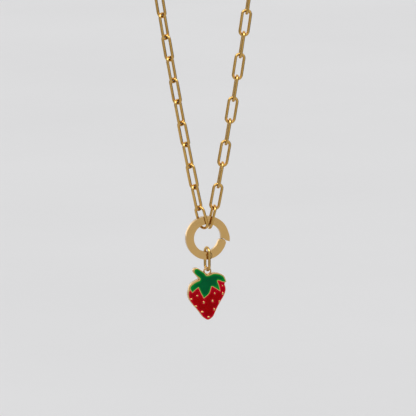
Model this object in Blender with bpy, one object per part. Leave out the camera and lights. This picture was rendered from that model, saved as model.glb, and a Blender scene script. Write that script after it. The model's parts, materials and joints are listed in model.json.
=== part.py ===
"""Paperclip-chain necklace with a hinged ring clasp and an enamelled strawberry charm.

Metres, +Z up. The necklace hangs in the XZ plane with its front towards -Y. The origin is the
top of the loop, where the chain lies over what holds it up.
"""

import math

import bmesh
import bpy
from mathutils import Matrix, Vector

MM = 0.001

# Chain: identical long links, each a quarter turn from the last.
CHAIN_LINKS = 48
CHAIN_PITCH = 8.0 * MM
CHAIN_WIRE = 1.05 * MM
CHAIN_WIDTH = 4.1 * MM
WIRE_GAP = 0.1 * MM  # play between two hooked wires
CHAIN_ARC_STEPS = 6
FOOT_LEAN = 0.21  # sideways run per unit of rise where a strand leaves the ring
LEAN_LOSS = 4.4  # how much faster it rises for each metre of chain below, per metre
LEFT_ROLL = math.radians(-50)  # turn of the left strand's links about the chain
RIGHT_ROLL = math.radians(8)  # and of the right strand's
HIDDEN_FIRST, HIDDEN_LAST = 11, 38  # one turn gives way to the other over these links

# Oval links: one at each end of the chain and one that carries the charm.
OVAL_LENGTH = 9.3 * MM
OVAL_INSIDE = 2.9 * MM  # clear width, through which the ring's band passes
OVAL_WIRE = 1.0 * MM
OVAL_PLAY = 0.08 * MM
OVAL_ARC_STEPS = 8
OVAL_SPREAD = math.radians(14.5)  # each end link's place on the ring, from its top
LEFT_END_ROLL = math.radians(-56)
RIGHT_END_ROLL = math.radians(-90)
CONNECTOR_ROLL = math.radians(-81)

# Ring clasp: a flat band with a gate in its lower right quarter.
RING_RADIUS = 8.0 * MM
BAND = 2.87 * MM
RING_THICKNESS = 2.0 * MM
LIP_RISE = 0.45 * MM
LIP_START = math.radians(20)
LIP_TIP = math.radians(-11.5)
LIP_ROOT = math.radians(30)  # where the lip leaves the socket, about the nose's centre
HINGE_ANGLE = math.radians(-90)
NOSE_ANGLE = math.radians(-25)
GATE_TUCK = math.radians(7.2)  # the closed gate's turn inwards from the band's own circle
SEAM_GAP = 0.2 * MM
TONGUE = 0.9 * MM
TONGUE_PLAY = 0.08 * MM
TONGUE_INSET = 0.2 * MM
TONGUE_REACH = math.radians(18)
PIN_RADIUS = 0.45 * MM
PIN_PLAY = 0.04 * MM
PIN_SHORT = 0.02 * MM  # how far each end of the pin stands below the ring's face
SPRING_WIRE = 0.3 * MM
SPRING_POCKET = 0.9 * MM
SPRING_REACH = math.radians(28)
SPRING_WAVE = 0.2 * MM
ARC_STEP = math.radians(6)

# Charm: a gold plate with two enamel pockets in its front, hung on a cast eyelet.
CHARM_THICKNESS = 2.3 * MM
POCKET_DEPTH = 0.7 * MM
ENAMEL_GAP = 0.05 * MM
RED_RIM = 0.15 * MM
GOLD_LINE = 0.25 * MM
SEED_RISE = 0.05 * MM
EYELET_HOLE = 1.0 * MM
EYELET_RADIUS = 1.5 * MM
EYELET_THICKNESS = 1.0 * MM
SPLINE_STEPS = 4
CIRCLE_STEPS = 24
SEED_STEPS = 10

# Outlines are in millimetres about the eyelet's centre, as runs from one corner to the next.
BODY_RUNS = (
    ((-3.35, -2.8), (-4.4, -3.2), (-5.8, -4.0), (-6.75, -5.0), (-7.2, -6.3), (-7.5, -8.0),
     (-7.35, -9.3), (-6.8, -10.7), (-5.6, -12.35), (-4.3, -13.9), (-3.2, -15.35),
     (-2.0, -16.95), (-0.2, -18.0), (1.6, -17.0), (2.5, -15.35), (3.35, -13.6),
     (4.55, -11.5), (5.75, -9.6), (6.5, -7.8), (6.55, -6.3), (6.2, -4.9), (6.85, -4.2)),
    ((6.85, -4.2), (6.1, -2.2), (4.9, -1.3), (3.4, -0.85), (1.9, -0.75), (0.6, -1.2),
     (-0.5, -1.3), (-1.6, -0.15), (-2.75, 0.65), (-3.9, 1.35), (-5.0, 1.25), (-5.5, 0.45),
     (-5.3, -0.35), (-4.5, -1.3), (-3.35, -2.8)),
)
CALYX_RUNS = (
    ((-3.1, -3.35), (-2.85, -2.6), (-3.35, -1.9), (-4.45, -0.95), (-5.1, -0.1), (-4.9, 0.9),
     (-4.0, 1.05), (-2.9, 0.35), (-1.75, -0.45), (-0.7, -1.65), (0.5, -1.65), (2.0, -1.15),
     (3.3, -1.2), (4.6, -1.6), (5.7, -2.4), (6.5, -4.1)),
    ((6.5, -4.1), (5.6, -4.0), (4.6, -3.6), (3.6, -3.25)),
    ((3.6, -3.25), (3.3, -3.9), (3.85, -5.4), (4.25, -7.2)),
    ((4.25, -7.2), (3.1, -6.4), (1.95, -5.65), (1.1, -5.4)),
    ((1.1, -5.4), (0.75, -6.6), (0.15, -8.1), (-1.6, -9.6)),
    ((-1.6, -9.6), (-2.65, -7.7), (-3.6, -5.5)),
    ((-3.6, -5.5), (-4.7, -6.2), (-5.95, -7.25)),
    ((-5.95, -7.25), (-6.65, -5.9), (-6.1, -4.9), (-4.6, -3.9), (-3.1, -3.35)),
)
# The red field's upper limit, hidden under the calyx, from the right edge to the left.
RED_TOP = ((6.35, -5.0), (5.6, -3.4), (3.2, -2.6), (-1.5, -3.6), (-5.3, -5.2), (-6.95, -6.9))
# Seeds: centre x and z, half width and half height.
SEEDS = (
    (-4.2, -8.75, 0.42, 0.3), (-1.75, -11.4, 0.42, 0.52), (1.55, -11.05, 0.4, 0.52),
    (2.4, -8.25, 0.33, 0.38), (5.45, -8.55, 0.36, 0.55), (5.35, -5.6, 0.25, 0.3),
    (-6.45, -9.9, 0.5, 0.3), (-4.75, -12.65, 0.55, 0.34), (-2.35, -14.9, 0.6, 0.36),
    (0.0, -16.9, 0.5, 0.36), (2.2, -14.2, 0.4, 0.5), (4.1, -11.5, 0.3, 0.55),
)

# Sizes that follow from those above.
RING_BORE = RING_RADIUS - BAND
BAND_MIDDLE = RING_RADIUS - BAND / 2
OVAL_WIDTH = OVAL_INSIDE + 2 * OVAL_WIRE
OVAL_HALF = (OVAL_LENGTH - OVAL_WIRE) / 2
OVAL_BOW = (OVAL_WIDTH - OVAL_WIRE) / 2
CHAIN_LENGTH = CHAIN_PITCH + 2 * CHAIN_WIRE + WIRE_GAP
SLOT = TONGUE + 2 * TONGUE_PLAY


def reset_scene():
    for obj in list(bpy.data.objects):
        bpy.data.objects.remove(obj, do_unlink=True)
    for name in ("necklace", "cutters"):
        collection = bpy.data.collections.new(name)
        bpy.context.scene.collection.children.link(collection)
    bpy.data.collections["cutters"].hide_render = True


def material(name, colour, roughness, metallic):
    made = bpy.data.materials.new(name)
    made.use_nodes = True
    shader = made.node_tree.nodes["Principled BSDF"]
    shader.inputs["Base Color"].default_value = (*colour, 1)
    shader.inputs["Roughness"].default_value = roughness
    shader.inputs["Metallic"].default_value = metallic
    return made


def add_object(name, data, parent=None, collection="necklace"):
    obj = bpy.data.objects.new(name, data)
    bpy.data.collections[collection].objects.link(obj)
    obj.parent = parent
    return obj


def pivot(name, place, parent=None):
    """An empty on a joint's axis, at a world place."""
    empty = add_object(name, None, parent)
    offset = world_place(parent) if parent else Vector()
    empty.location = place - offset
    return empty


def world_place(obj):
    place = obj.location.copy()
    while obj.parent:
        obj = obj.parent
        place += obj.location
    return place


def loop_points(length, width, wire, steps):
    """A long loop's centre line in XZ: two half circles joined by straight sides."""
    bow = (width - wire) / 2
    straight = (length - wire) / 2 - bow
    points = []
    for centre, start in ((straight, 0), (-straight, math.pi)):
        for step in range(steps + 1):
            angle = start + math.pi * step / steps
            points.append((bow * math.cos(angle), 0, centre + bow * math.sin(angle)))
    return points


def wire_object(name, points, wire, look, parent=None, cyclic=True, resolution=1):
    curve = bpy.data.curves.new(name, "CURVE")
    curve.dimensions = "3D"
    curve.bevel_depth = wire / 2
    curve.bevel_resolution = resolution
    curve.use_fill_caps = not cyclic
    spline = curve.splines.new("POLY")
    spline.points.add(len(points) - 1)
    for point, place in zip(spline.points, points):
        point.co = (*place, 1)
    spline.use_cyclic_u = cyclic
    curve.materials.append(look)
    return add_object(name, curve, parent)


def link_matrix(centre, along, roll):
    """A link's frame: Z along it, X across its opening, turned by roll about its length."""
    along = along.normalized()
    level = Vector((along.z, 0, -along.x))
    across = level * math.cos(roll) + Vector((0, 1, 0)) * math.sin(roll)
    third = along.cross(across)
    rotation = Matrix((across, third, along)).transposed().to_4x4()
    return Matrix.Translation(centre) @ rotation


def end_link_seat():
    """Drop from the ring's bore to the middle of a link's bow that clears the band's corners.

    The play counts for more than once to make up for the bore's curve."""
    turned = min(abs(math.sin(roll)) for roll in (LEFT_END_ROLL, RIGHT_END_ROLL, CONNECTOR_ROLL))
    corner = RING_THICKNESS / 2 / turned
    inner = OVAL_INSIDE / 2 - 1.75 * OVAL_PLAY
    return OVAL_BOW - math.sqrt(inner**2 - corner**2)


def strand_point(rise_length):
    """Distance from the middle plane and height above the foot, along a hanging strand."""
    foot = ring_direction(OVAL_SPREAD).x * foot_radius()
    gain = 1 + LEAN_LOSS * rise_length
    run = math.asinh(gain / FOOT_LEAN) - math.asinh(1 / FOOT_LEAN)
    rise = math.hypot(FOOT_LEAN, gain) - math.hypot(FOOT_LEAN, 1)
    return foot + run * FOOT_LEAN / LEAN_LOSS, rise / LEAN_LOSS


def foot_radius():
    """From the ring's centre to where an end link hooks into the chain."""
    return RING_BORE - end_link_seat() + 2 * OVAL_HALF - (OVAL_WIRE + WIRE_GAP) / 2


def ring_direction(angle):
    """A unit vector that leans by angle from straight up."""
    return Vector((math.sin(angle), 0, math.cos(angle)))


def wrap_of(strand):
    """Lean at a strand's top, and the radius of the arc that carries the loop over its top."""
    lean = math.atan(FOOT_LEAN / (1 + LEAN_LOSS * strand))
    return lean, strand_point(strand)[0] / math.cos(lean)


def strand_length():
    """The length of a strand for which the two strands and the top arc hold every link."""
    low, high = 0.0, CHAIN_LINKS * CHAIN_PITCH / 2
    half = high
    for _ in range(50):
        middle = (low + high) / 2
        lean, radius = wrap_of(middle)
        if middle + radius * (math.pi / 2 + lean) < half:
            low = middle
        else:
            high = middle
    return low


def chain_points():
    """The places where the chain's links hook, from the left foot over the top to the right."""
    strand = strand_length()
    lean, radius = wrap_of(strand)
    axle = strand_point(strand)[1] + radius * math.sin(lean)
    top = axle + radius
    half = CHAIN_LINKS * CHAIN_PITCH / 2
    points = []
    for index in range(CHAIN_LINKS + 1):
        along = index * CHAIN_PITCH
        side = -1 if along < half else 1
        along = min(along, 2 * half - along)
        if along <= strand:
            across, height = strand_point(along)
        else:
            turn = (along - strand) / radius - lean
            across, height = radius * math.cos(turn), axle + radius * math.sin(turn)
        points.append(Vector((side * across, 0, height - top)))
    return points


def chain_roll(number):
    """Each link's turn about the chain: a quarter turn a link, and its strand's own turn."""
    hidden = (number - HIDDEN_FIRST) / (HIDDEN_LAST - HIDDEN_FIRST)
    share = min(max(hidden, 0), 1)
    return -math.pi / 2 * number + LEFT_ROLL + (RIGHT_ROLL - LEFT_ROLL) * share


def build_chain(points, gold):
    shape = loop_points(CHAIN_LENGTH, CHAIN_WIDTH, CHAIN_WIRE, CHAIN_ARC_STEPS)
    for number, (start, end) in enumerate(zip(points, points[1:]), 1):
        link = wire_object(f"chain_link_{number:02d}", shape, CHAIN_WIRE, gold)
        link.matrix_world = link_matrix((start + end) / 2, end - start, chain_roll(number))


def oval_link(name, centre, along, roll, gold, parent):
    shape = loop_points(OVAL_LENGTH, OVAL_WIDTH, OVAL_WIRE, OVAL_ARC_STEPS)
    link = wire_object(name, shape, OVAL_WIRE, gold, parent, resolution=2)
    link.matrix_local = link_matrix(centre - world_place(parent), along, roll)
    return link


def arc(centre, radius, start, end):
    """Points in XZ from one angle to another about a centre, angles from +X towards +Z."""
    count = max(2, math.ceil(abs(end - start) / ARC_STEP))
    points = []
    for step in range(count + 1):
        angle = start + (end - start) * step / count
        points.append((centre[0] + radius * math.cos(angle), centre[1] + radius * math.sin(angle)))
    return points


def polar(radius, angle):
    return radius * math.cos(angle), radius * math.sin(angle)


def crossing_angle(radius, distance, other):
    """At a circle's centre, between another circle's centre and where the two cross."""
    return math.acos((radius**2 + distance**2 - other**2) / (2 * radius * distance))


def turned(points, angle, about):
    """Points of XZ turned from +X towards +Z about a place."""
    cos, sin = math.cos(angle), math.sin(angle)
    return [
        (
            about[0] + (x - about[0]) * cos - (z - about[1]) * sin,
            about[1] + (x - about[0]) * sin + (z - about[1]) * cos,
        )
        for x, z in points
    ]


def plate(name, outline, thickness, middle=0.0, holder=None, collection="cutters"):
    """A flat piece: an outline in XZ with its thickness along Y, about a middle depth."""
    curve = bpy.data.curves.new(name, "CURVE")
    curve.dimensions = "2D"
    curve.fill_mode = "BOTH"
    curve.extrude = thickness / 2
    spline = curve.splines.new("POLY")
    spline.points.add(len(outline) - 1)
    for point, (x, z) in zip(spline.points, outline):
        point.co = (x, z, 0, 1)
    spline.use_cyclic_u = True
    flat = add_object(name, curve, collection="cutters")
    flat.rotation_euler.x = math.pi / 2
    flat.location.y = middle
    return meshed(flat, holder, collection)


def meshed(source, holder, collection):
    """The solid of a curve object as a mesh object of the same name."""
    bpy.context.view_layer.update()
    graph = bpy.context.evaluated_depsgraph_get()
    mesh = bpy.data.meshes.new_from_object(source.evaluated_get(graph))
    mesh.transform(source.matrix_world)
    name = source.name
    bpy.data.objects.remove(source, do_unlink=True)
    work = bmesh.new()
    work.from_mesh(mesh)
    bmesh.ops.remove_doubles(work, verts=work.verts, dist=0.001 * MM)
    bmesh.ops.recalc_face_normals(work, faces=work.faces)
    work.to_mesh(mesh)
    work.free()
    obj = add_object(name, mesh, holder, collection)
    if collection == "cutters":
        obj.hide_render = True
        obj.display_type = "WIRE"
    return obj


def boolean(target, tool, operation):
    """Adds a Boolean whose tool rides with its target."""
    tool.parent = target.parent
    modifier = target.modifiers.new(tool.name, "BOOLEAN")
    modifier.operation = operation
    modifier.solver = "EXACT"
    modifier.object = tool


def band_sector(half_width, start, end):
    """A stretch of the ring's middle circle, as wide as twice half_width."""
    outer = arc((0, 0), BAND_MIDDLE + half_width, start, end)
    inner = arc((0, 0), BAND_MIDDLE - half_width, end, start)
    return outer + inner


def pin_place():
    return polar(BAND_MIDDLE, HINGE_ANGLE)


def nose_place():
    """The centre of the closed gate's round nose."""
    return turned([polar(BAND_MIDDLE, NOSE_ANGLE)], GATE_TUCK, pin_place())[0]


def lip_edge():
    """The ring's outer edge from the plain circle out to the lip's tip."""
    points = []
    steps = 8
    for step in range(steps + 1):
        share = step / steps
        swell = LIP_RISE * share**2 * (3 - 2 * share)
        points.append(polar(RING_RADIUS + swell, LIP_START + (LIP_TIP - LIP_START) * share))
    return points


def ring_outline():
    """The ring's fixed part: a round end at the hinge, a socket and a lip at the gate's nose."""
    hinge = HINGE_ANGLE + 2 * math.pi
    nose = nose_place()
    socket = BAND / 2 + SEAM_GAP
    distance = math.hypot(*nose)
    bore_end = math.atan2(nose[1], nose[0]) + crossing_angle(RING_BORE, distance, socket)
    corner = polar(RING_BORE, bore_end)
    socket_end = math.atan2(corner[1] - nose[1], corner[0] - nose[0])
    points = arc((0, 0), RING_RADIUS, hinge, LIP_START)[:-1]
    points += lip_edge()
    points += arc(nose, socket, LIP_ROOT, socket_end)[:-1]
    points += arc((0, 0), RING_BORE, bore_end, hinge)[:-1]
    points += arc(pin_place(), BAND / 2, math.pi / 2, -math.pi / 2)[:-1]
    return points


def gate_outline():
    """The gate as it lies in the band's own circle, from its shoulder to its round nose."""
    shoulder = BAND / 2 + SEAM_GAP
    outer = HINGE_ANGLE + crossing_angle(RING_RADIUS, BAND_MIDDLE, shoulder)
    inner = HINGE_ANGLE + crossing_angle(RING_BORE, BAND_MIDDLE, shoulder)
    pin = pin_place()
    low, high = polar(RING_RADIUS, outer), polar(RING_BORE, inner)
    start = math.atan2(high[1] - pin[1], high[0] - pin[0])
    end = math.atan2(low[1] - pin[1], low[0] - pin[0])
    points = arc((0, 0), RING_RADIUS, outer, NOSE_ANGLE)
    points += arc(polar(BAND_MIDDLE, NOSE_ANGLE), BAND / 2, NOSE_ANGLE, NOSE_ANGLE + math.pi)[1:-1]
    points += arc((0, 0), RING_BORE, NOSE_ANGLE, inner)
    points += arc(pin, shoulder, start, end)[1:-1]
    return points


def tongue_outline():
    """The gate's thin tongue, which turns on the pin between the ring's two ears."""
    half = BAND / 2 - TONGUE_INSET
    inner = BAND_MIDDLE - half
    points = arc((0, 0), BAND_MIDDLE + half, HINGE_ANGLE, HINGE_ANGLE + TONGUE_REACH)
    points += arc((0, 0), inner, HINGE_ANGLE + TONGUE_REACH, HINGE_ANGLE)
    points += arc(pin_place(), half, math.pi / 2, math.pi * 3 / 2)[1:-1]
    return points


def placed(points, place):
    return [(x + place[0], z + place[1]) for x, z in points]


def circle(radius, place=(0.0, 0.0)):
    turn = math.tau / CIRCLE_STEPS
    return placed([polar(radius, turn * step) for step in range(CIRCLE_STEPS)], place)


def build_ring(holder, offset, pale):
    """The ring's fixed part, with the slot, pin hole and spring pocket of its hinge."""
    body = plate("ring_body", placed(ring_outline(), offset), RING_THICKNESS, holder=holder,
                 collection="necklace")
    body.data.materials.append(pale)
    pin = placed([pin_place()], offset)[0]
    slot = plate("slot_cut", circle(BAND / 2 + TONGUE_PLAY, pin), SLOT)
    pocket = band_sector(SPRING_POCKET / 2, HINGE_ANGLE, HINGE_ANGLE - SPRING_REACH)
    spring_cut = plate("spring_cut", placed(pocket, offset), SLOT - 2 * TONGUE_PLAY)
    hole = plate("pin_cut", circle(PIN_RADIUS + PIN_PLAY, pin), 2 * RING_THICKNESS)
    for tool in (slot, spring_cut, hole):
        boolean(body, tool, "DIFFERENCE")


def build_pin(holder, offset, steel):
    pin = placed([pin_place()], offset)[0]
    long = RING_THICKNESS - 2 * PIN_SHORT
    made = plate("gate_pin", circle(PIN_RADIUS, pin), long, holder=holder, collection="necklace")
    made.data.materials.append(steel)


def build_spring(holder, offset, steel):
    """A bowed wire in the ring's pocket, whose free end bears on the gate's tongue."""
    clear = BAND / 2 - TONGUE_INSET + SPRING_WIRE
    first = HINGE_ANGLE - clear / BAND_MIDDLE
    last = HINGE_ANGLE - SPRING_REACH + SPRING_WIRE / BAND_MIDDLE
    steps = 16
    points = []
    for step in range(steps + 1):
        share = step / steps
        wave = SPRING_WAVE * math.sin(2 * math.tau * share) * (1 - share / 2)
        x, z = polar(BAND_MIDDLE + wave, first + (last - first) * share)
        points.append((x + offset[0], 0, z + offset[1]))
    wire_object("gate_spring", points, SPRING_WIRE, steel, holder, cyclic=False)


def build_gate(holder, pale):
    """The gate about its pin, at the origin of its holder."""
    pin = pin_place()
    shape = turned(gate_outline(), GATE_TUCK, pin)
    tongue = turned(tongue_outline(), GATE_TUCK, pin)
    back = (-pin[0], -pin[1])
    gate = plate("gate", placed(shape, back), RING_THICKNESS, holder=holder, collection="necklace")
    gate.data.materials.append(pale)
    boolean(gate, plate("tongue_join", placed(tongue, back), TONGUE), "UNION")
    boolean(gate, plate("gate_bore", circle(PIN_RADIUS + PIN_PLAY), 2 * RING_THICKNESS),
            "DIFFERENCE")


def smooth_run(run):
    """Points along a smooth line through a run's points, without its last."""
    ends = [run[0]] + list(run) + [run[-1]]
    points = []
    for before, start, end, after in zip(ends, ends[1:], ends[2:], ends[3:]):
        for step in range(SPLINE_STEPS):
            t = step / SPLINE_STEPS
            points.append(tuple(
                0.5 * (2 * b + (c - a) * t + (2 * a - 5 * b + 4 * c - d) * t**2
                       + (3 * b - a - 3 * c + d) * t**3) * MM
                for a, b, c, d in zip(before, start, end, after)
            ))
    return points


def outline_of(runs):
    return [point for run in runs for point in smooth_run(run)]


def edge_distance(point, start, end):
    """From a point to a straight edge."""
    along = (end[0] - start[0], end[1] - start[1])
    rise = (point[0] - start[0], point[1] - start[1])
    share = (rise[0] * along[0] + rise[1] * along[1]) / (along[0] ** 2 + along[1] ** 2)
    share = min(max(share, 0), 1)
    return math.hypot(rise[0] - share * along[0], rise[1] - share * along[1])


def grown(outline, distance):
    """An outline moved out by a distance, or in where it is negative, with no crossed corners."""
    area = sum(a[0] * b[1] - b[0] * a[1] for a, b in zip(outline, outline[1:] + outline[:1]))
    side = 1 if area > 0 else -1
    points = []
    for before, here, after in zip(outline[-1:] + outline, outline, outline[1:] + outline[:1]):
        first = Vector((here[0] - before[0], here[1] - before[1])).normalized()
        second = Vector((after[0] - here[0], after[1] - here[1])).normalized()
        middle = (first + second).normalized()
        reach = side * distance / max(middle.dot(first), 0.4)
        points.append((here[0] + middle.y * reach, here[1] - middle.x * reach))
    edges = list(zip(outline, outline[1:] + outline[:1]))
    least = 0.98 * abs(distance)
    return [p for p in points if min(edge_distance(p, *edge) for edge in edges) >= least]


def red_outline(inset):
    """The red field before the calyx is taken from it: the body's lower edge, inset."""
    body = grown(outline_of(BODY_RUNS), -RED_RIM - inset)
    top = [(x * MM, z * MM) for x, z in RED_TOP]
    low = [point for point in body if point[1] < top[-1][1] or point[1] < top[0][1] and point[0] > 0]
    return low + top


def seed_outline(seed, grow=0.0):
    x, z, wide, high = (size * MM for size in seed)
    turn = math.tau / SEED_STEPS
    return [
        (x + (wide + grow) * math.cos(turn * step), z + (high + grow) * math.sin(turn * step))
        for step in range(SEED_STEPS)
    ]


def eyelet(gold):
    """A turned ring with rounded edges about Y."""
    half = EYELET_THICKNESS / 2
    edge = (EYELET_RADIUS - EYELET_HOLE) / 2
    middle = (EYELET_RADIUS + EYELET_HOLE) / 2
    bpy.ops.mesh.primitive_torus_add(
        major_segments=CIRCLE_STEPS, minor_segments=8, major_radius=middle, minor_radius=edge,
        rotation=(math.pi / 2, 0, 0),
    )
    ring = bpy.context.object
    ring.name = "eyelet_join"
    ring.data.transform(ring.matrix_world)
    ring.matrix_world = Matrix()
    for vertex in ring.data.vertices:
        vertex.co.y *= half / edge
    for collection in list(ring.users_collection):
        collection.objects.unlink(ring)
    bpy.data.collections["cutters"].objects.link(ring)
    ring.hide_render = True
    ring.display_type = "WIRE"
    ring.data.materials.append(gold)
    return ring


def build_charm(holder, drop, gold, red, green):
    """The gold body with its pockets, seeds and eyelet, and the two enamels that fill them."""
    shift = (0.0, drop)
    front = -CHARM_THICKNESS / 2
    floor = front + POCKET_DEPTH
    body = plate("charm_body", placed(outline_of(BODY_RUNS), shift), CHARM_THICKNESS,
                 holder=holder, collection="necklace")
    body.data.materials.append(gold)
    calyx = outline_of(CALYX_RUNS)

    def tool(name, outline, low, high):
        """A plate between two depths."""
        return plate(name, placed(outline, shift), high - low, (low + high) / 2)

    past, under = 3 * front, floor + POCKET_DEPTH
    red_cut = tool("red_cut", red_outline(0), 2 * front, floor)
    boolean(red_cut, tool("calyx_keep", grown(calyx, GOLD_LINE), past, under), "DIFFERENCE")
    boolean(body, red_cut, "DIFFERENCE")
    boolean(body, tool("green_cut", calyx, 2 * front, floor), "DIFFERENCE")
    fill = POCKET_DEPTH - ENAMEL_GAP
    centre = front + fill / 2
    red_piece = plate("red_enamel", placed(red_outline(ENAMEL_GAP), shift), fill, centre,
                      holder, "necklace")
    red_piece.data.materials.append(red)
    boolean(red_piece, tool("calyx_cut", grown(calyx, GOLD_LINE + ENAMEL_GAP), past, under),
            "DIFFERENCE")
    for number, seed in enumerate(SEEDS, 1):
        post = tool(f"seed_{number}", seed_outline(seed), front - SEED_RISE, floor + ENAMEL_GAP)
        boolean(body, post, "UNION")
        around = tool(f"seed_cut_{number}", seed_outline(seed, ENAMEL_GAP), past, under)
        boolean(red_piece, around, "DIFFERENCE")
    green_piece = plate("green_enamel", placed(grown(calyx, -ENAMEL_GAP), shift), fill, centre,
                        holder, "necklace")
    green_piece.data.materials.append(green)
    ring = eyelet(gold)
    ring.data.transform(Matrix.Translation((0, 0, drop)))
    boolean(body, ring, "UNION")


def eyelet_drop():
    """From the wire's middle in the connector's lower bow down to the eyelet's centre."""
    half = EYELET_THICKNESS / 2
    climb = OVAL_BOW - math.sqrt(OVAL_BOW**2 - half**2)
    return EYELET_HOLE - OVAL_WIRE / 2 - climb - OVAL_PLAY


def main():
    reset_scene()
    gold = material("polished_gold", (0.70, 0.42, 0.11), 0.15, 1.0)
    pale = material("pale_gold", (0.70, 0.45, 0.17), 0.15, 1.0)
    steel = material("spring_steel", (0.55, 0.55, 0.56), 0.3, 1.0)
    red = material("red_enamel", (0.28, 0.0, 0.004), 0.12, 0.0)
    green = material("green_enamel", (0.0, 0.1, 0.03), 0.12, 0.0)

    points = chain_points()
    build_chain(points, gold)

    foot = ring_direction(OVAL_SPREAD) * foot_radius()
    centre = Vector((0, 0, points[0].z - foot.z))
    ring_pivot = pivot("ring_pivot", Vector((0, 0, points[0].z)))
    offset = (0.0, -foot.z)
    build_ring(ring_pivot, offset, pale)
    build_pin(ring_pivot, offset, steel)
    build_spring(ring_pivot, offset, steel)
    seat = RING_BORE - end_link_seat()
    for name, side, roll in (("end_link_left", -1, LEFT_END_ROLL), ("end_link_right", 1, RIGHT_END_ROLL)):
        along = ring_direction(side * OVAL_SPREAD)
        oval_link(name, centre + along * (seat + OVAL_HALF), along, roll, gold, ring_pivot)

    pin = pin_place()
    gate_pivot = pivot("gate_pivot", centre + Vector((pin[0], 0, pin[1])), ring_pivot)
    build_gate(gate_pivot, pale)

    up = Vector((0, 0, 1))
    connector_pivot = pivot("connector_pivot", centre - up * BAND_MIDDLE, ring_pivot)
    oval_link("connector_link", centre - up * (seat + OVAL_HALF), up, CONNECTOR_ROLL, gold,
              connector_pivot)
    charm_pivot = pivot("charm_pivot", centre - up * (seat + 2 * OVAL_HALF), connector_pivot)
    build_charm(charm_pivot, -eyelet_drop(), pale, red, green)


main()
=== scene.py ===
import json
import math

import bmesh
import bpy
import numpy as np
from mathutils import Matrix, Vector
from mathutils.geometry import delaunay_2d_cdt
from mathutils.kdtree import KDTree


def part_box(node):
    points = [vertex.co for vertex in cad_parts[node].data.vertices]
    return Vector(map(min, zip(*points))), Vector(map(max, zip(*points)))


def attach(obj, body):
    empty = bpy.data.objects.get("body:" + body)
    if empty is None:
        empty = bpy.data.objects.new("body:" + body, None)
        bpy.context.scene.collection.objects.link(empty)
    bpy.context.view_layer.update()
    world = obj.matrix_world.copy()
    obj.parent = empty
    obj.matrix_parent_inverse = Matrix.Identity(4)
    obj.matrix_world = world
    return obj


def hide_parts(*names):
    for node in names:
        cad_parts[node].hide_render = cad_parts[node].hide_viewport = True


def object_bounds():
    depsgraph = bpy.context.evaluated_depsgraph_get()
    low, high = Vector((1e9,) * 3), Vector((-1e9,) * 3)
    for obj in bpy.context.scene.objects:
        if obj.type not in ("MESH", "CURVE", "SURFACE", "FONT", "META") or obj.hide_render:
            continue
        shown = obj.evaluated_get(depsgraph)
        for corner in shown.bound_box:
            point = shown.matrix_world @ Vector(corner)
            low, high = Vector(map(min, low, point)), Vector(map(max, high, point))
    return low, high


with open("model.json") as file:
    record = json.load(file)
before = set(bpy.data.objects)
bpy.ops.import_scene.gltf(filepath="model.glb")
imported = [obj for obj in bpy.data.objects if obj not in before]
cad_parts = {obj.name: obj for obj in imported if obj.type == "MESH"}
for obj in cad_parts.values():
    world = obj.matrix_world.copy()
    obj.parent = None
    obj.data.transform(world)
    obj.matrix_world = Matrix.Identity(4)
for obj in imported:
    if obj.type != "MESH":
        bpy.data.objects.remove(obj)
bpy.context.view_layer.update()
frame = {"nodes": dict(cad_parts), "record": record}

# Looks of a paperclip-chain necklace with a hinged ring clasp and an enamelled strawberry charm.
# Metres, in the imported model's frame: +Z up, the necklace in the XZ plane, its front towards -Y.
# Sizes match the part's own, except that the green enamel is a little wider here and the gold line
# round it thinner. The pieces' places come from the frame.

MM = 0.001

# Chain and oval links.
CHAIN_LENGTH = 10.2 * MM
CHAIN_WIDTH = 4.1 * MM
CHAIN_WIRE = 1.05 * MM
OVAL_LENGTH = 9.3 * MM
OVAL_WIDTH = 4.9 * MM
OVAL_WIRE = 1.0 * MM
WIRE_SIDES = 20
BOW_STEPS = 18
SIDE_STEPS = 6

# Ring clasp.
RING_RADIUS = 8.0 * MM
BAND = 2.87 * MM
RING_THICKNESS = 2.0 * MM
LIP_RISE = 0.45 * MM
LIP_START = math.radians(20)
LIP_TIP = math.radians(-11.5)
LIP_ROOT = math.radians(30)
HINGE_ANGLE = math.radians(-90)
NOSE_ANGLE = math.radians(-25)
GATE_TUCK = math.radians(7.2)
SEAM_GAP = 0.2 * MM
TONGUE = 0.9 * MM
TONGUE_PLAY = 0.08 * MM
TONGUE_INSET = 0.2 * MM
TONGUE_REACH = math.radians(18)
PIN_RADIUS = 0.45 * MM
PIN_PLAY = 0.04 * MM
SPRING_WIRE = 0.3 * MM
SPRING_POCKET = 0.9 * MM
SPRING_REACH = math.radians(28)
SPRING_WAVE = 0.2 * MM
SPRING_STEPS = 48
LIP_STEPS = 24
ARC_STEP = math.radians(1.5)
RING_EDGE = 0.12 * MM
PIN_EDGE = 0.06 * MM
RING_BORE = RING_RADIUS - BAND
BAND_MIDDLE = RING_RADIUS - BAND / 2

# Charm.
CHARM_THICKNESS = 2.3 * MM
POCKET_DEPTH = 0.7 * MM
RED_RIM = 0.15 * MM
GOLD_LINE = 0.2 * MM
CALYX_GROWTH = 0.06 * MM  # how much wider the green enamel is than the part's, all round
EYELET_HOLE = 1.0 * MM
EYELET_RADIUS = 1.5 * MM
EYELET_THICKNESS = 1.0 * MM
CHARM_EDGE = 0.12 * MM
SEED_DOME = 0.22 * MM
ENAMEL_SINK = 0.02 * MM
ENAMEL_SWELL = 0.3 * MM
ENAMEL_SHOULDER = 0.7 * MM
ENAMEL_GRID = 0.17 * MM
PAINTED_SHADE_REACH = 0.5 * MM  # how near other metal must be for painted shade to darken the gold
RIM_SHEEN_RISE = 0.18 * MM  # height over which the enamel's lighter rim colour, partly a painted highlight, fades
SPLINE_STEPS = 8
SEED_STEPS = 24
EYELET_AROUND, EYELET_SIDES = 48, 16
SWELL_ROUNDS = 400

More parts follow.
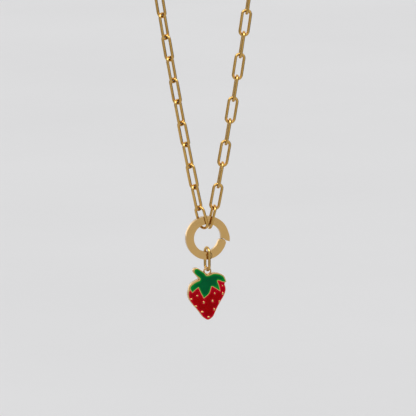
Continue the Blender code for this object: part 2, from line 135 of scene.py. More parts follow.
# Materials.
SHADE_DARKEST_OPENNESS, SHADE_FREE_OPENNESS = 0.25, 0.75  # how open to its surroundings the gold is where its painted shade is darkest and where none is painted
PAINTED_SHADE_COLOUR = 0.12  # share of the gold's colour left where its painted shade is darkest
MIX_SHARE, MIX_FIRST, MIX_SECOND, MIX_COLOUR = 0, 6, 7, 2  # a Mix node's sockets for colours

# Outlines in millimetres about the eyelet's centre, as runs from one corner to the next.
BODY_RUNS = (
    ((-3.35, -2.8), (-4.4, -3.2), (-5.8, -4.0), (-6.75, -5.0), (-7.2, -6.3), (-7.5, -8.0),
     (-7.35, -9.3), (-6.8, -10.7), (-5.6, -12.35), (-4.3, -13.9), (-3.2, -15.35),
     (-2.0, -16.95), (-0.2, -18.0), (1.6, -17.0), (2.5, -15.35), (3.35, -13.6),
     (4.55, -11.5), (5.75, -9.6), (6.5, -7.8), (6.55, -6.3), (6.2, -4.9), (6.85, -4.2)),
    ((6.85, -4.2), (6.1, -2.2), (4.9, -1.3), (3.4, -0.85), (1.9, -0.75), (0.6, -1.2),
     (-0.5, -1.3), (-1.6, -0.15), (-2.75, 0.65), (-3.9, 1.35), (-5.0, 1.25), (-5.5, 0.45),
     (-5.3, -0.35), (-4.5, -1.3), (-3.35, -2.8)),
)
CALYX_RUNS = (
    ((-3.1, -3.35), (-2.85, -2.6), (-3.35, -1.9), (-4.45, -0.95), (-5.1, -0.1), (-4.9, 0.9),
     (-4.0, 1.05), (-2.9, 0.35), (-1.75, -0.45), (-0.7, -1.65), (0.5, -1.65), (2.0, -1.15),
     (3.3, -1.2), (4.6, -1.6), (5.7, -2.4), (6.5, -4.1)),
    ((6.5, -4.1), (5.6, -4.0), (4.6, -3.6), (3.6, -3.25)),
    ((3.6, -3.25), (3.3, -3.9), (3.85, -5.4), (4.25, -7.2)),
    ((4.25, -7.2), (3.1, -6.4), (1.95, -5.65), (1.1, -5.4)),
    ((1.1, -5.4), (0.75, -6.6), (0.15, -8.1), (-1.6, -9.6)),
    ((-1.6, -9.6), (-2.65, -7.7), (-3.6, -5.5)),
    ((-3.6, -5.5), (-4.7, -6.2), (-5.95, -7.25)),
    ((-5.95, -7.25), (-6.65, -5.9), (-6.1, -4.9), (-4.6, -3.9), (-3.1, -3.35)),
)
# The red field's upper limit, under the calyx, from the right edge to the left.
RED_TOP = ((6.35, -5.0), (5.6, -3.4), (3.2, -2.6), (-1.5, -3.6), (-5.3, -5.2), (-6.95, -6.9))
# Seeds: centre x and z, half width and half height.
SEEDS = (
    (-4.2, -8.75, 0.42, 0.3), (-1.75, -11.4, 0.42, 0.52), (1.55, -11.05, 0.4, 0.52),
    (2.4, -8.25, 0.33, 0.38), (5.45, -8.55, 0.36, 0.55), (5.35, -5.6, 0.25, 0.3),
    (-6.45, -9.9, 0.5, 0.3), (-4.75, -12.65, 0.55, 0.34), (-2.35, -14.9, 0.6, 0.36),
    (0.0, -16.9, 0.5, 0.36), (2.2, -14.2, 0.4, 0.5), (4.1, -11.5, 0.3, 0.55),
)


# ---------------------------------------------------------------- materials

def node(tree, kind, **values):
    """Adds a shader node and sets its inputs by name."""
    made = tree.nodes.new(kind)
    for name, value in values.items():
        made.inputs[name.replace("_", " ")].default_value = value
    return made


def grain(tree, scale, stretch, detail=3.0, distortion=0.0):
    """A noise in the object's own space, stretched along its axes."""
    place = tree.nodes.new("ShaderNodeTexCoord")
    mapping = node(tree, "ShaderNodeMapping", Scale=stretch)
    noise = node(tree, "ShaderNodeTexNoise", Scale=scale, Detail=detail, Distortion=distortion)
    tree.links.new(place.outputs["Object"], mapping.inputs["Vector"])
    tree.links.new(mapping.outputs["Vector"], noise.inputs["Vector"])
    return noise.outputs["Fac"]


def spread(tree, source, low, high):
    """The source from its middle range to a range of values."""
    remap = node(tree, "ShaderNodeMapRange", From_Min=0.3, From_Max=0.7, To_Min=low, To_Max=high)
    tree.links.new(source, remap.inputs["Value"])
    return remap.outputs["Result"]


def blended(tree, source, first, second):
    ramp = tree.nodes.new("ShaderNodeValToRGB")
    ramp.color_ramp.elements[0].position = 0.3
    ramp.color_ramp.elements[1].position = 0.7
    ramp.color_ramp.elements[0].color = (*first, 1)
    ramp.color_ramp.elements[1].color = (*second, 1)
    tree.links.new(source, ramp.inputs["Fac"])
    return ramp.outputs["Color"]


def mixed(tree, share, first, second):
    """The first colour where the share is 0 and the second, a plain colour, where it is 1."""
    mix = tree.nodes.new("ShaderNodeMix")
    mix.data_type = "RGBA"
    mix.inputs[MIX_SECOND].default_value = (*second, 1)
    tree.links.new(share, mix.inputs[MIX_SHARE])
    tree.links.new(first, mix.inputs[MIX_FIRST])
    return mix.outputs[MIX_COLOUR]


def painted_seam_shade(tree, colour, dark):
    """Painted shade: a colour that darkens where metal lies close to metal, in the hooked wires and the
    gate's seam.
    """
    hidden = node(tree, "ShaderNodeAmbientOcclusion", Distance=PAINTED_SHADE_REACH)
    hidden.samples = 8
    share = node(tree, "ShaderNodeMapRange", From_Min=SHADE_FREE_OPENNESS, From_Max=SHADE_DARKEST_OPENNESS)
    tree.links.new(hidden.outputs["AO"], share.inputs["Value"])
    return mixed(tree, share.outputs["Result"], colour, dark)


def surface(name, colours, roughness, patches, fine, bump, **settings):
    """A material that wanders between two colours and two roughnesses, with a fine relief."""
    made = bpy.data.materials.new(name)
    made.use_nodes = True
    tree = made.node_tree
    shader = tree.nodes["Principled BSDF"]
    for socket, value in settings.items():
        shader.inputs[socket.replace("_", " ")].default_value = value
    wide = grain(tree, *patches)
    tight = grain(tree, *fine)
    colour = blended(tree, wide, *colours)
    # Metal gets painted shade in its colour wherever other metal lies near it.
    if settings.get("Metallic"):
        colour = painted_seam_shade(tree, colour, [PAINTED_SHADE_COLOUR * part for part in colours[1]])
    tree.links.new(colour, shader.inputs["Base Color"])
    tree.links.new(spread(tree, tight, *roughness), shader.inputs["Roughness"])
    relief = node(tree, "ShaderNodeBump", Strength=bump[0], Distance=bump[1])
    tree.links.new(tight, relief.inputs["Height"])
    tree.links.new(relief.outputs["Normal"], shader.inputs["Normal"])
    return made


def polished_gold():
    """Bright plated wire: patches of warmer plate and hairline handling marks."""
    return surface(
        "polished_gold", ((0.66, 0.41, 0.125), (0.55, 0.33, 0.09)), (0.08, 0.17),
        (420, (1, 1, 0.4)), (1500, (1, 1, 0.12), 4.0, 0.3), (0.12, 0.02 * MM), Metallic=1.0,
    )


def pale_gold():
    """The clasp's and the charm's paler plate: nearly a mirror, with a fine straight grain."""
    return surface(
        "pale_gold", ((0.67, 0.425, 0.16), (0.63, 0.40, 0.147)), (0.08, 0.14),
        (260, (1, 1, 1)), (900, (0.12, 1, 5), 5.0), (0.04, 0.01 * MM), Metallic=1.0,
    )


def steel():
    return surface(
        "spring_steel", ((0.56, 0.56, 0.57), (0.46, 0.46, 0.48)), (0.2, 0.36),
        (700, (1, 1, 1)), (2400, (1, 1, 0.3), 4.0), (0.15, 0.01 * MM), Metallic=1.0,
    )


def enamel(name, light, deep, rim):
    """Glassy enamel: a soft change of depth, and a brighter colour at its rim where it thins over the
    gold, which is partly a painted highlight along its edges.
    """
    made = surface(
        name, (deep, light), (0.16, 0.24), (300, (1, 1, 1), 2.0), (480, (1, 1, 1), 2.0),
        (0.12, 0.05 * MM), Coat_Weight=0.08, Coat_Roughness=0.06, Specular_IOR_Level=0.0,
    )
    tree = made.node_tree
    colour = tree.nodes["Principled BSDF"].inputs["Base Color"]
    field = colour.links[0].from_socket
    place = tree.nodes.new("ShaderNodeTexCoord")
    split = tree.nodes.new("ShaderNodeSeparateXYZ")
    foot = ENAMEL_SINK - CHARM_THICKNESS / 2
    thin = node(tree, "ShaderNodeMapRange", From_Min=foot - RIM_SHEEN_RISE, From_Max=foot)
    tree.links.new(place.outputs["Object"], split.inputs["Vector"])
    tree.links.new(split.outputs["Y"], thin.inputs["Value"])
    # The lighter rim colour is partly thin enamel and partly a painted highlight along the edges.
    tree.links.new(mixed(tree, thin.outputs["Result"], field, rim), colour)
    return made


# ---------------------------------------------------------------- meshes

def add_object(name, data, *looks):
    obj = bpy.data.objects.new(name, data)
    bpy.context.scene.collection.objects.link(obj)
    for look in looks:
        data.materials.append(look)
    return obj


def mesh_from(name, work):
    bmesh.ops.recalc_face_normals(work, faces=work.faces)
    mesh = bpy.data.meshes.new(name)
    work.to_mesh(mesh)
    work.free()
    return mesh


def polar(radius, angle, middle=(0.0, 0.0)):
    return middle[0] + radius * math.cos(angle), middle[1] + radius * math.sin(angle)


def arc(middle, radius, start, end):
    """Points in XZ from one angle to another about a middle, angles from +X towards +Z."""
    count = max(2, math.ceil(abs(end - start) / ARC_STEP))
    return [polar(radius, start + (end - start) * step / count, middle) for step in range(count + 1)]


def circle(radius, middle=(0.0, 0.0)):
    return arc(middle, radius, 0, math.tau)[:-1]


def tube_mesh(name, path, wire, closed=True):
    """A round wire along a path in XZ, smooth all round, with flat ends where it is open."""
    work = bmesh.new()
    depth = Vector((0, 1, 0))
    rings = []
    for index, place in enumerate(path):
        before = path[index - 1] if closed or index else place
        after = path[(index + 1) % len(path)] if closed or index < len(path) - 1 else place
        side = Vector((after[0] - before[0], 0, after[1] - before[1])).normalized().cross(depth)
        centre = Vector((place[0], 0, place[1]))
        ring = []
        for step in range(WIRE_SIDES):
            across, deep = polar(wire / 2, math.tau * step / WIRE_SIDES)
            ring.append(work.verts.new(centre + side * across + depth * deep))
        rings.append(ring)
    for first, second in zip(rings, rings[1:] + (rings[:1] if closed else [])):
        for step in range(WIRE_SIDES):
            other = (step + 1) % WIRE_SIDES
            work.faces.new((first[step], first[other], second[other], second[step]))
    if not closed:
        work.faces.new(rings[0])
        work.faces.new(rings[-1])
    mesh = mesh_from(name, work)
    mesh.shade_smooth()
    return mesh


def loop_path(length, width, wire):
    """A long loop's centre line in XZ: two half circles joined by straight sides."""
    bow = (width - wire) / 2
    straight = (length - wire) / 2 - bow
    path = []
    for side, start in ((1, 0), (-1, math.pi)):
        for step in range(BOW_STEPS + 1):
            path.append(polar(bow, start + math.pi * step / BOW_STEPS, (0, side * straight)))
        for step in range(1, SIDE_STEPS):
            path.append((-side * bow, side * straight * (1 - 2 * step / SIDE_STEPS)))
    return path


def plate(name, outline, thickness):
    """A flat piece: an outline in XZ with its thickness along Y, about the middle plane."""
    work = bmesh.new()
    front = [work.verts.new((x, -thickness / 2, z)) for x, z in outline]
    back = [work.verts.new((x, thickness / 2, z)) for x, z in outline]
    work.faces.new(front)
    work.faces.new(back[::-1])
    for index in range(len(outline)):
        work.faces.new((front[index], front[index - 1], back[index - 1], back[index]))
    return add_object(name, mesh_from(name, work))


def shaped(target, cuts=(), joins=(), edge=0.0):
    """The target with pieces cut from it and joined to it and its edges rounded."""
    for operation, tools in (("UNION", joins), ("DIFFERENCE", cuts)):
        for tool in tools:
            modifier = target.modifiers.new(tool.name, "BOOLEAN")
            modifier.operation = operation
            modifier.object = tool
    if edge:
        bevel = target.modifiers.new("edge", "BEVEL")
        bevel.width = edge
        bevel.segments = 3
        bevel.angle_limit = math.radians(40)
    bpy.context.view_layer.update()
    graph = bpy.context.evaluated_depsgraph_get()
    mesh = bpy.data.meshes.new_from_object(target.evaluated_get(graph))
    target.modifiers.clear()
    target.data = mesh
    for tool in (*cuts, *joins):
        bpy.data.objects.remove(tool, do_unlink=True)
    return target


def crisp(obj, look):
    """One finish, with flat faces kept flat and rounded ones smooth."""
    mesh = obj.data
    mesh.materials.clear()
    mesh.materials.append(look)
    for face in mesh.polygons:
        face.use_smooth = abs(face.normal.y) < 0.99
    mesh.set_sharp_from_angle(angle=math.radians(40))


# ---------------------------------------------------------------- ring clasp

def crossing_angle(radius, distance, other):
    """At a circle's centre, between another circle's centre and where the two cross."""
    return math.acos((radius**2 + distance**2 - other**2) / (2 * radius * distance))


def turned(points, angle, about):
    """Points of XZ turned from +X towards +Z about a place."""
    cos, sin = math.cos(angle), math.sin(angle)
    return [
        (
            about[0] + (x - about[0]) * cos - (z - about[1]) * sin,
            about[1] + (x - about[0]) * sin + (z - about[1]) * cos,
        )
        for x, z in points
    ]


def band_sector(half_width, start, end):
    """A stretch of the ring's middle circle, as wide as twice half_width."""
    outer = arc((0, 0), BAND_MIDDLE + half_width, start, end)
    return outer + arc((0, 0), BAND_MIDDLE - half_width, end, start)


PIN = polar(BAND_MIDDLE, HINGE_ANGLE)


def lip_edge():
    """The ring's outer edge from the plain circle out to the lip's tip."""
    points = []
    for step in range(LIP_STEPS + 1):
        share = step / LIP_STEPS
        swell = LIP_RISE * share**2 * (3 - 2 * share)
        points.append(polar(RING_RADIUS + swell, LIP_START + (LIP_TIP - LIP_START) * share))
    return points


def ring_outline():
    """The ring's fixed part: a round end at the hinge, a socket and a lip at the gate's nose."""
    hinge = HINGE_ANGLE + math.tau
    nose = turned([polar(BAND_MIDDLE, NOSE_ANGLE)], GATE_TUCK, PIN)[0]
    socket = BAND / 2 + SEAM_GAP
    toward = math.atan2(nose[1], nose[0])
    bore_end = toward + crossing_angle(RING_BORE, math.hypot(*nose), socket)
    corner = polar(RING_BORE, bore_end)
    socket_end = math.atan2(corner[1] - nose[1], corner[0] - nose[0])
    points = arc((0, 0), RING_RADIUS, hinge, LIP_START)[:-1]
    points += lip_edge()
    points += arc(nose, socket, LIP_ROOT, socket_end)[:-1]
    points += arc((0, 0), RING_BORE, bore_end, hinge)[:-1]
    points += arc(PIN, BAND / 2, math.pi / 2, -math.pi / 2)[:-1]
    return points


def gate_outline():
    """The gate as it lies in the band's own circle, from its shoulder to its round nose."""
    shoulder = BAND / 2 + SEAM_GAP
    outer = HINGE_ANGLE + crossing_angle(RING_RADIUS, BAND_MIDDLE, shoulder)
    inner = HINGE_ANGLE + crossing_angle(RING_BORE, BAND_MIDDLE, shoulder)
    low, high = polar(RING_RADIUS, outer), polar(RING_BORE, inner)
    start = math.atan2(high[1] - PIN[1], high[0] - PIN[0])
    end = math.atan2(low[1] - PIN[1], low[0] - PIN[0])
    points = arc((0, 0), RING_RADIUS, outer, NOSE_ANGLE)
    points += arc(polar(BAND_MIDDLE, NOSE_ANGLE), BAND / 2, NOSE_ANGLE, NOSE_ANGLE + math.pi)[1:-1]
    points += arc((0, 0), RING_BORE, NOSE_ANGLE, inner)
    points += arc(PIN, shoulder, start, end)[1:-1]
    return points


def tongue_outline():
    """The gate's thin tongue, which turns on the pin between the ring's two ears."""
    half = BAND / 2 - TONGUE_INSET
    points = band_sector(half, HINGE_ANGLE, HINGE_ANGLE + TONGUE_REACH)
    return points + arc(PIN, half, math.pi / 2, math.pi * 3 / 2)[1:-1]


def spring_path():
    """A bowed wire in the ring's pocket, whose free end bears on the gate's tongue."""
    clear = BAND / 2 - TONGUE_INSET + SPRING_WIRE
    first = HINGE_ANGLE - clear / BAND_MIDDLE
    last = HINGE_ANGLE - SPRING_REACH + SPRING_WIRE / BAND_MIDDLE
    path = []
    for step in range(SPRING_STEPS + 1):
        share = step / SPRING_STEPS
        wave = SPRING_WAVE * math.sin(2 * math.tau * share) * (1 - share / 2)
        path.append(polar(BAND_MIDDLE + wave, first + (last - first) * share))
    return path


def build_clasp(looks):
    """The ring with its gate, pin and spring, about the ring's centre."""
    low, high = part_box("gate_pin")
    centre = (Vector(low) + Vector(high)) / 2 - Vector((PIN[0], 0, PIN[1]))
    slot = TONGUE + 2 * TONGUE_PLAY
    body = shaped(
        plate("clasp_ring", ring_outline(), RING_THICKNESS),
        cuts=(
            plate("slot", circle(BAND / 2 + TONGUE_PLAY, PIN), slot),
            plate("pocket", band_sector(SPRING_POCKET / 2, HINGE_ANGLE, HINGE_ANGLE - SPRING_REACH),
                  TONGUE),
            plate("hole", circle(PIN_RADIUS + PIN_PLAY, PIN), 2 * RING_THICKNESS),
        ),
        edge=RING_EDGE,
    )
    gate = shaped(
        plate("clasp_gate", turned(gate_outline(), GATE_TUCK, PIN), RING_THICKNESS),
        cuts=(plate("bore", circle(PIN_RADIUS + PIN_PLAY, PIN), 2 * RING_THICKNESS),),
        joins=(plate("tongue", turned(tongue_outline(), GATE_TUCK, PIN), TONGUE),),
        edge=RING_EDGE,
    )
    pin = shaped(plate("hinge_pin", circle(PIN_RADIUS, PIN), high[1] - low[1]), edge=PIN_EDGE)
    pin.data.materials.append(looks["gold"])
    pin.data.set_sharp_from_angle(angle=math.radians(40))
    spring = add_object("clasp_spring", tube_mesh("clasp_spring", spring_path(), SPRING_WIRE, False),
                        looks["steel"])
    for obj in (body, gate):
        crisp(obj, looks["pale"])
    for obj, moves, stands_for, slot_name in (
        (body, "ring", "ring_body", "pale_gold"), (gate, "gate", "gate", "pale_gold"),
        (pin, "ring", "gate_pin", "steel"), (spring, "ring", "gate_spring", "steel"),
    ):
        obj.location = centre
        settle(obj, moves, stands_for)


# ---------------------------------------------------------------- links

def settle(obj, body, cad_node):
    """Ties a visible piece to its body, and hides the solid that it stands for."""
    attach(obj, body)
    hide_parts(cad_node)


def link_place(cad_node):
    """The place of a link: Z along it and X across its opening, from the spread of its solid."""
    points = np.array([tuple(v.co) for v in frame["nodes"][cad_node].data.vertices])
    points = np.unique(np.round(points, 7), axis=0)
    middle = (points.min(0) + points.max(0)) / 2
    axes = np.linalg.eigh(np.cov((points - middle).T))[1]
    across, along = Vector(axes[:, 1]), Vector(axes[:, 2])
    if along.z < 0:
        along.negate()
    rotation = Matrix((across, along.cross(across), along)).transposed().to_4x4()
    return Matrix.Translation(middle) @ rotation


def build_links(gold):
    chain = tube_mesh("chain_wire", loop_path(CHAIN_LENGTH, CHAIN_WIDTH, CHAIN_WIRE), CHAIN_WIRE)
    oval = tube_mesh("oval_wire", loop_path(OVAL_LENGTH, OVAL_WIDTH, OVAL_WIRE), OVAL_WIRE)
    chain.materials.append(gold)
    oval.materials.append(gold)
    for body, members in frame["record"]["behaviour"]["bodies"].items():
        for cad_node in members:
            if "link" not in cad_node:
                continue
            mesh = chain if cad_node.startswith("chain_link") else oval
            link = add_object(f"wire_{cad_node}", mesh)
            link.matrix_world = link_place(cad_node)
            settle(link, body, cad_node)


# ---------------------------------------------------------------- charm

def smooth_run(run):
    """Points along a smooth line through a run's points, without its last."""
    ends = [run[0]] + list(run) + [run[-1]]
    points = []
    for before, start, end, after in zip(ends, ends[1:], ends[2:], ends[3:]):
        for step in range(SPLINE_STEPS):
            t = step / SPLINE_STEPS
            points.append(tuple(
                0.5 * (2 * b + (c - a) * t + (2 * a - 5 * b + 4 * c - d) * t**2
                       + (3 * b - a - 3 * c + d) * t**3) * MM
                for a, b, c, d in zip(before, start, end, after)
            ))
    return points


def outline_of(runs):
    return np.array([point for run in runs for point in smooth_run(run)])


def edge_distance(points, outline):
    """How far each point is from an outline's nearest edge."""
    start, end = outline, np.roll(outline, -1, axis=0)
    along = end - start
    rise = points[:, None] - start[None]
    share = (rise * along).sum(2) / (along**2).sum(1)
    gap = rise - np.clip(share, 0, 1)[..., None] * along
    return np.sqrt((gap**2).sum(2).min(1))


def inside(points, outline):
    """Which points an outline goes round."""
    x, z = points[:, :1], points[:, 1:]
    start, end = outline, np.roll(outline, -1, axis=0)
    spans = (start[:, 1] > z) != (end[:, 1] > z)
    rise = np.where(end[:, 1] == start[:, 1], 1, end[:, 1] - start[:, 1])
    crossing = start[:, 0] + (z - start[:, 1]) * (end[:, 0] - start[:, 0]) / rise
    return (spans & (x < crossing)).sum(1) % 2 == 1


def grown(outline, distance):
    """An outline moved out by a distance, or in where it is negative, with no crossed corners."""
    before, after = np.roll(outline, 1, axis=0), np.roll(outline, -1, axis=0)
    area = (outline[:, 0] * after[:, 1] - after[:, 0] * outline[:, 1]).sum()
    first = (outline - before) / np.linalg.norm(outline - before, axis=1)[:, None]
    second = (after - outline) / np.linalg.norm(after - outline, axis=1)[:, None]
    middle = (first + second) / np.linalg.norm(first + second, axis=1)[:, None]
    reach = np.sign(area) * distance / np.maximum((middle * first).sum(1), 0.4)
    moved = outline + np.stack([middle[:, 1], -middle[:, 0]], axis=1) * reach[:, None]
    return moved[edge_distance(moved, outline) >= 0.98 * abs(distance)]


def red_outline(body):
    """The red field before the calyx is taken from it: the body's lower edge, inset."""
    inset = grown(body, -RED_RIM)
    top = np.array(RED_TOP) * MM
    low = (inset[:, 1] < top[-1, 1]) | ((inset[:, 1] < top[0, 1]) & (inset[:, 0] > 0))
    return np.concatenate([inset[low], top])


def seed_loop(seed, share=1.0):
    x, z, wide, high = (size * MM for size in seed)
    turn = np.arange(SEED_STEPS) * math.tau / SEED_STEPS
    return np.stack([x + wide * share * np.cos(turn), z + high * share * np.sin(turn)], axis=1)


def seed_rise(points):
    """How far the seeds' domes stand above the charm's front at each point."""
    rise = np.zeros(len(points))
    for seed in SEEDS:
        x, z, wide, high = (size * MM for size in seed)
        away = ((points[:, 0] - x) / wide) ** 2 + ((points[:, 1] - z) / high) ** 2
        rise = np.maximum(rise, SEED_DOME * np.sqrt(np.clip(1 - away, 0, 1)))
    return rise


def triangulated(loops, spacing=None):
    """Triangles between closed loops, with a grid of points among them where spacing is given."""
    points, edges = [], []
    for loop in loops:
        first = len(points)
        points += [tuple(point) for point in loop]
        edges += [(first + i, first + (i + 1) % len(loop)) for i in range(len(loop))]
    if spacing:
        every = np.concatenate(loops)
        low, high = every.min(0), every.max(0)
        rows = np.arange(low[1], high[1], spacing * math.sqrt(3) / 2)
        grid = [
            (x + spacing / 2 * (row % 2), z)
            for row, z in enumerate(rows) for x in np.arange(low[0], high[0], spacing)
        ]
        near = KDTree(len(every))
        for index, point in enumerate(every):
            near.insert((*point, 0), index)
        near.balance()
        points += [p for p in grid if near.find((*p, 0))[2] > 0.6 * spacing]
    places, _, triangles, *_ = delaunay_2d_cdt([Vector(p) for p in points], edges, [], 0, 1e-7)
    return np.array([tuple(p) for p in places]), np.array([tuple(t) for t in triangles])


def raised(name, places, triangles, top, bottom):
    """A closed solid over the triangles, with its front at one height for each place."""
    work = bmesh.new()
    used = sorted(set(triangles.ravel()))
    front = {i: work.verts.new((places[i][0], top[i], places[i][1])) for i in used}
    back = {i: work.verts.new((places[i][0], bottom[i], places[i][1])) for i in used}
    seen = set()
    for a, b, c in triangles:
        work.faces.new((front[a], front[b], front[c]))
        work.faces.new((back[c], back[b], back[a]))
        seen |= {(a, b), (b, c), (c, a)}
    for a, b in sorted(seen):
        if (b, a) not in seen:
            work.faces.new((front[b], front[a], back[a], back[b]))
    return mesh_from(name, work)


def swollen(places, triangles):
    """Heights of a skin held at its rim and pushed up evenly, level a shoulder's width inside."""
    pairs = np.concatenate([triangles[:, [0, 1]], triangles[:, [1, 2]], triangles[:, [2, 0]]])
    ordered, counts = np.unique(np.sort(pairs, axis=1), axis=0, return_counts=True)
    rim = np.unique(ordered[counts == 1])
    ends = np.concatenate([ordered, ordered[:, ::-1]])
    links = np.maximum(np.bincount(ends[:, 0], minlength=len(places)), 1)
    pull = (ENAMEL_GRID / (2 * ENAMEL_SHOULDER)) ** 2
    height = np.zeros(len(places))
    for _ in range(SWELL_ROUNDS):
        total = np.bincount(ends[:, 0], weights=height[ends[:, 1]], minlength=len(places))
        height = (total / links + pull) / (1 + pull)
        height[rim] = 0
    return height


def enamel_piece(name, places, triangles, look):
    front = -CHARM_THICKNESS / 2
    top = front + ENAMEL_SINK - ENAMEL_SWELL * swollen(places, triangles)
    mesh = raised(name, places, triangles, top, np.full(len(places), front + POCKET_DEPTH))
    mesh.shade_smooth()
    mesh.set_sharp_from_angle(angle=math.radians(50))
    return add_object(name, mesh, look)


def charm_fields(body):
    """The front's triangles, and which of them are red, green and gold."""
    calyx = grown(outline_of(CALYX_RUNS), CALYX_GROWTH)
    line = grown(calyx, GOLD_LINE)
    red_edge = red_outline(body)
    seeds = [seed_loop(seed) for seed in SEEDS]
    domes = [seed_loop(seed, share) for seed in SEEDS for share in (0.9, 0.7, 0.4)]
    edges = [grown(body, -share * CHARM_EDGE) for share in (0.3, 1.0)]
    places, triangles = triangulated([body, calyx, line, red_edge, *seeds, *domes, *edges], ENAMEL_GRID)
    middles = places[triangles].mean(1)
    within = inside(middles, body)
    green = within & inside(middles, calyx)
    red = within & inside(middles, red_edge) & ~inside(middles, line)
    for seed in seeds:
        red &= ~inside(middles, seed)
    return places, triangles, red, green, within


def gold_body(places, triangles, gold_field, within, body):
    """The charm's gold, from its rounded front edge over the pockets' floors to its back."""
    half = CHARM_THICKNESS / 2
    inner = np.clip(edge_distance(places, body) / CHARM_EDGE, 0, 1)
    drop = CHARM_EDGE * (1 - np.sqrt(1 - (1 - inner) ** 2))
    crest = -half + drop - seed_rise(places)
    work = bmesh.new()

    def corner(table, index, depth):
        if index not in table:
            table[index] = work.verts.new((places[index][0], depth, places[index][1]))
        return table[index]

    top, floor, back, owner = {}, {}, {}, {}
    for number, (a, b, c) in enumerate(triangles):
        if not within[number]:
            continue
        gold = bool(gold_field[number])
        for pair in ((a, b), (b, c), (c, a)):
            owner[pair] = gold
        if gold:
            work.faces.new([corner(top, i, crest[i]) for i in (a, b, c)])
        else:
            work.faces.new([corner(floor, i, -half + POCKET_DEPTH) for i in (a, b, c)])
        work.faces.new([corner(back, i, half - drop[i]) for i in (c, b, a)])
    for (a, b), gold in owner.items():
        other = owner.get((b, a))
        if other is None:
            upper = top if gold else floor
            work.faces.new((upper[b], upper[a], back[a], back[b]))
        elif gold and not other:
            work.faces.new((top[b], top[a], floor[a], floor[b]))
    return mesh_from("charm_gold", work)


def eyelet():
    """A turned ring with rounded edges about Y."""
    edge = (EYELET_RADIUS - EYELET_HOLE) / 2
    middle = (EYELET_RADIUS + EYELET_HOLE) / 2
    work = bmesh.new()
    rings = []
    for turn in range(EYELET_AROUND):
        ring = []
        for side in range(EYELET_SIDES):
            out, deep = polar(1, math.tau * side / EYELET_SIDES)
            x, z = polar(middle + edge * out, math.tau * turn / EYELET_AROUND)
            ring.append(work.verts.new((x, deep * EYELET_THICKNESS / 2, z)))
        rings.append(ring)
    for first, second in zip(rings, rings[1:] + rings[:1]):
        for side in range(EYELET_SIDES):
            other = (side + 1) % EYELET_SIDES
            work.faces.new((first[side], first[other], second[other], second[side]))
    return add_object("eyelet", mesh_from("eyelet", work))


def build_charm(looks):
    centre = Vector((0, 0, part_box("charm_body")[1][2] - EYELET_RADIUS))
    body = outline_of(BODY_RUNS)
    places, triangles, red, green, within = charm_fields(body)
    mesh = gold_body(places, triangles, within & ~red & ~green, within, body)
    metal = shaped(add_object("charm_gold", mesh), joins=(eyelet(),))
    metal.data.materials.append(looks["pale"])
    metal.data.shade_smooth()
    metal.data.set_sharp_from_angle(angle=math.radians(35))
    pieces = (
        (metal, "charm_body", "pale_gold"),
        (enamel_piece("charm_red", places, triangles[red], looks["red"]), "red_enamel", "red_enamel"),
        (enamel_piece("charm_green", places, triangles[green], looks["green"]), "green_enamel",
         "green_enamel"),
    )
    for obj, cad_node, slot_name in pieces:
        obj.location = centre
        settle(obj, "charm", cad_node)


# ---------------------------------------------------------------- studio

AIM = Vector((0.52, 0, -175.1)) * MM
CAMERA_AZIMUTH = math.radians(-15)
CAMERA_ELEVATION = math.radians(10)
CAMERA_ROLL = math.radians(-0.6)
CAMERA_DISTANCE = 1.2
VIEW_WIDTH = 151.1 * MM
FLOOR_DROP = 250 * MM
FLOOR_REACH = 20
SKY = ((0.0, 0.68), (0.5, 0.95))  # how bright the tent is at the horizon and higher up
# Lamps: azimuth and elevation in degrees, distance and size in metres, power in watts.
LAMPS = {
    "key": (-60, 50, 1.2, 0.8, 6),
    "fill": (70, 30, 1.4, 1.0, 2),
    "top": (10, 50, 1.0, 0.4, 4),
    "back_left": (-165, 5, 1.2, 0.5, 0.6),
}
# Dark cards: azimuth and elevation in degrees, then distance, width and height in metres.
CARDS = {
    "camera_side": (-40, 0, 1.0, 0.36, 1.4),
    "right_side": (105, 0, 0.9, 1.2, 1.4),
    "left_back": (-115, 0, 1.0, 0.6, 1.4),
}


def from_azimuth(azimuth, elevation):
    """A unit vector from the necklace towards a viewer."""
    return Vector((
        math.sin(azimuth) * math.cos(elevation),
        -math.cos(azimuth) * math.cos(elevation),
        math.sin(elevation),
    ))


def build_camera():
    data = bpy.data.cameras.new("camera")
    data.sensor_width = 36
    data.lens = data.sensor_width * CAMERA_DISTANCE / VIEW_WIDTH
    data.clip_end = 50
    camera = bpy.data.objects.new("camera", data)
    bpy.context.scene.collection.objects.link(camera)
    back = from_azimuth(CAMERA_AZIMUTH, CAMERA_ELEVATION)
    look = (-back).to_track_quat("-Z", "Y").to_matrix() @ Matrix.Rotation(CAMERA_ROLL, 3, "Z")
    camera.matrix_world = Matrix.Translation(AIM + back * CAMERA_DISTANCE) @ look.to_4x4()
    bpy.context.scene.camera = camera


def area_light(name, azimuth, elevation, distance, size, power):
    """A lamp for glints only, so the tent alone lights the floor, evenly."""
    data = bpy.data.lights.new(name, "AREA")
    data.size = size
    data.energy = power
    light = bpy.data.objects.new(name, data)
    bpy.context.scene.collection.objects.link(light)
    toward = from_azimuth(math.radians(azimuth), math.radians(elevation))
    light.location = AIM + toward * distance
    light.rotation_mode = "QUATERNION"
    light.rotation_quaternion = toward.to_track_quat("Z", "Y")
    light.visible_camera = False
    light.visible_diffuse = False


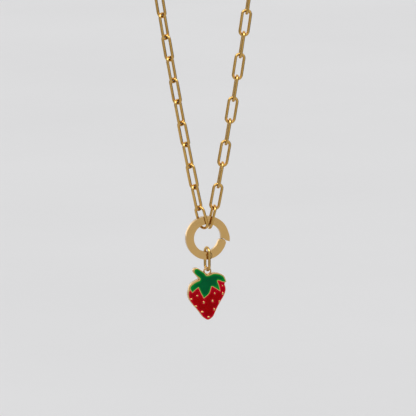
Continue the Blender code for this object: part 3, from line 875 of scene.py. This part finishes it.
def dark_card(name, azimuth, elevation, distance, width, height, look):
    """A black card that only reflections see, which gives the bright metal its dark bands."""
    toward = from_azimuth(math.radians(azimuth), math.radians(elevation))
    work = bmesh.new()
    corners = [work.verts.new((x * width / 2, z * height / 2, 0))
               for x, z in ((-1, -1), (1, -1), (1, 1), (-1, 1))]
    work.faces.new(corners)
    card = add_object(name, mesh_from(name, work), look)
    card.location = AIM + toward * distance
    card.rotation_mode = "QUATERNION"
    card.rotation_quaternion = toward.to_track_quat("Z", "Y")
    card.visible_camera = False
    card.visible_diffuse = False
    card.visible_shadow = False


def build_sky():
    """A white tent: as pale as the floor at the horizon and brighter overhead."""
    world = bpy.data.worlds.new("studio")
    bpy.context.scene.world = world
    world.use_nodes = True
    tree = world.node_tree
    place = tree.nodes.new("ShaderNodeTexCoord")
    split = tree.nodes.new("ShaderNodeSeparateXYZ")
    ramp = tree.nodes.new("ShaderNodeValToRGB")
    for element, (height, grey) in zip(ramp.color_ramp.elements, SKY):
        element.position = height
        element.color = (grey, grey, grey * 1.01, 1)
    tree.links.new(place.outputs["Generated"], split.inputs["Vector"])
    tree.links.new(split.outputs["Z"], ramp.inputs["Fac"])
    tree.links.new(ramp.outputs["Color"], tree.nodes["Background"].inputs["Color"])


def build_studio():
    bpy.context.scene.view_settings.view_transform = "Standard"
    build_sky()
    pale = surface("pale_floor", ((0.75, 0.75, 0.75), (0.77, 0.77, 0.77)), (0.8, 0.9),
                   (3, (1, 1, 1)), (40, (1, 1, 1)), (0.02, 0.1 * MM))
    work = bmesh.new()
    bmesh.ops.create_grid(work, x_segments=1, y_segments=1, size=FLOOR_REACH)
    floor = add_object("floor", mesh_from("floor", work), pale)
    floor.location.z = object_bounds()[0][2] - FLOOR_DROP
    for name, setting in LAMPS.items():
        area_light(name, *setting)
    black = surface("black_card", ((0.01, 0.01, 0.01), (0.015, 0.013, 0.012)), (0.8, 0.9),
                    (5, (1, 1, 1)), (40, (1, 1, 1)), (0.02, 0.1 * MM))
    for name, setting in CARDS.items():
        dark_card(name, *setting, black)


finishes = {
    "gold": polished_gold(),
    "pale": pale_gold(),
    "steel": steel(),
    # Each enamel's third colour is its lighter rim: partly thin enamel, partly a painted highlight.
    "red": enamel("red_enamel", (0.37, 0.0, 0.001), (0.29, 0.0, 0.001), (0.62, 0.0, 0.022)),
    "green": enamel("green_enamel", (0.0, 0.125, 0.032), (0.0, 0.095, 0.026), (0.0, 0.33, 0.03)),
}
build_links(finishes["gold"])
build_clasp(finishes)
build_charm(finishes)
build_camera()
build_studio()
